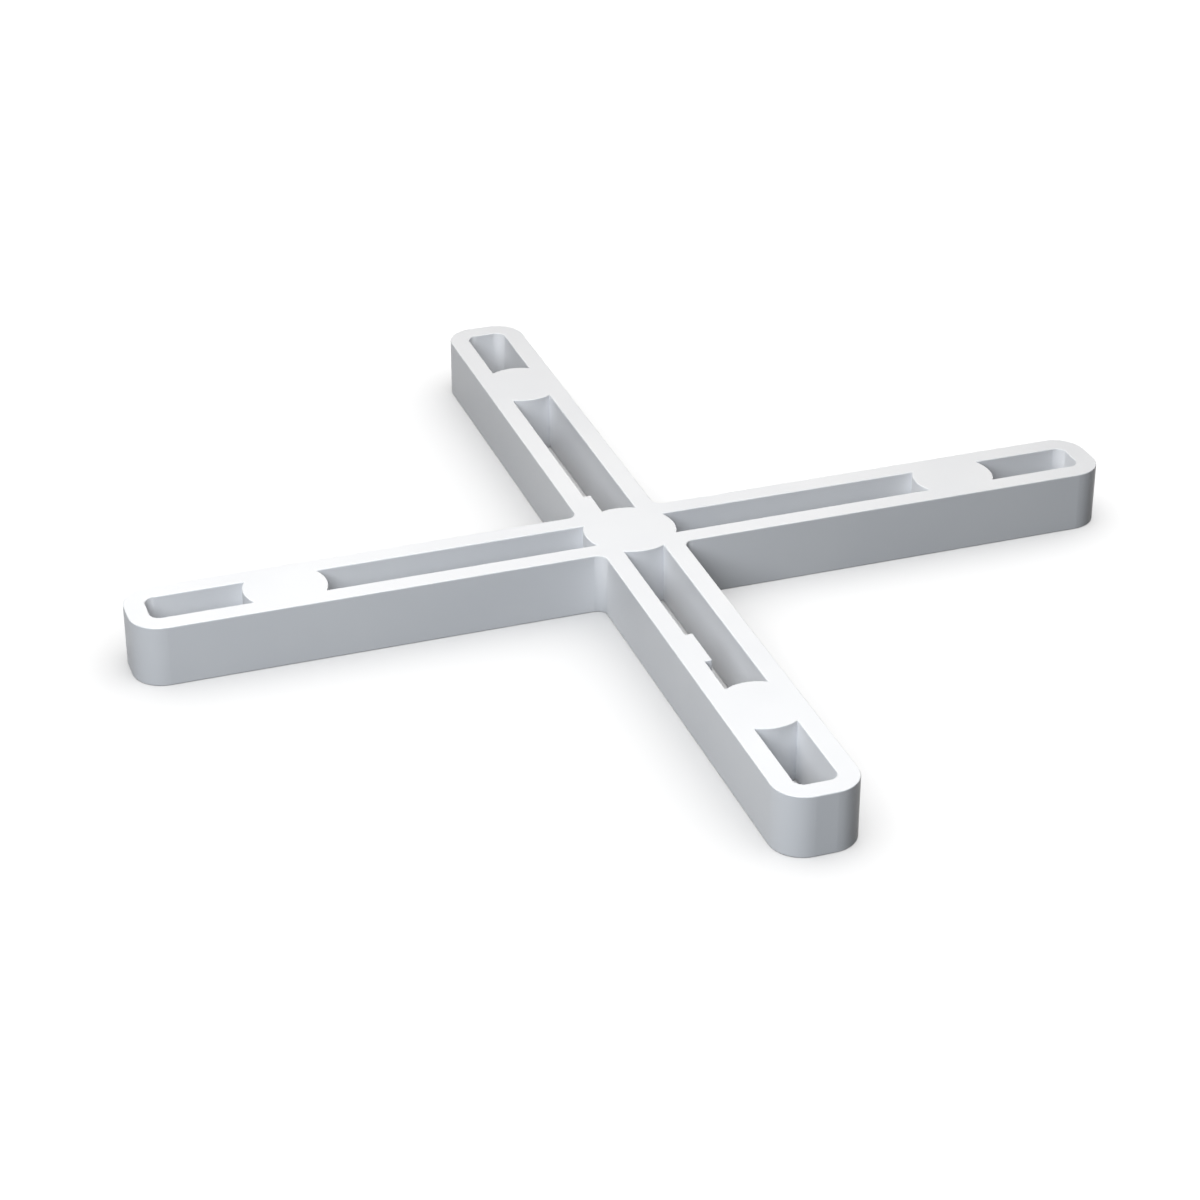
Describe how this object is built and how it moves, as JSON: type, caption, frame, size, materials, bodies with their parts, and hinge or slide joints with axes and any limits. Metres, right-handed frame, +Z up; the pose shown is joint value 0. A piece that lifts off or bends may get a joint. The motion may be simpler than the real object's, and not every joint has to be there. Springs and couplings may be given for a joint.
{
  "type": "tile spacer",
  "caption": "Moulded plastic cross that stands where tile corners meet and keeps the joints between them open, with slim pockets between its round hub and the boss in each arm.",
  "frame": {"origin": "centre of the cross, on the lower face that it stands on", "axes": "+Z up through the thickness, X and Y along the arms; the pads stand in the two arms along Y, the one beside the hub in the +Y arm"},
  "size_m": [0.049, 0.049, 0.003],
  "materials": {
    "white_plastic": "satin, plain as it leaves the mould"
  },
  "bodies": {
    "root": {"tile_spacer": "white_plastic"}
  },
  "joints": []
}
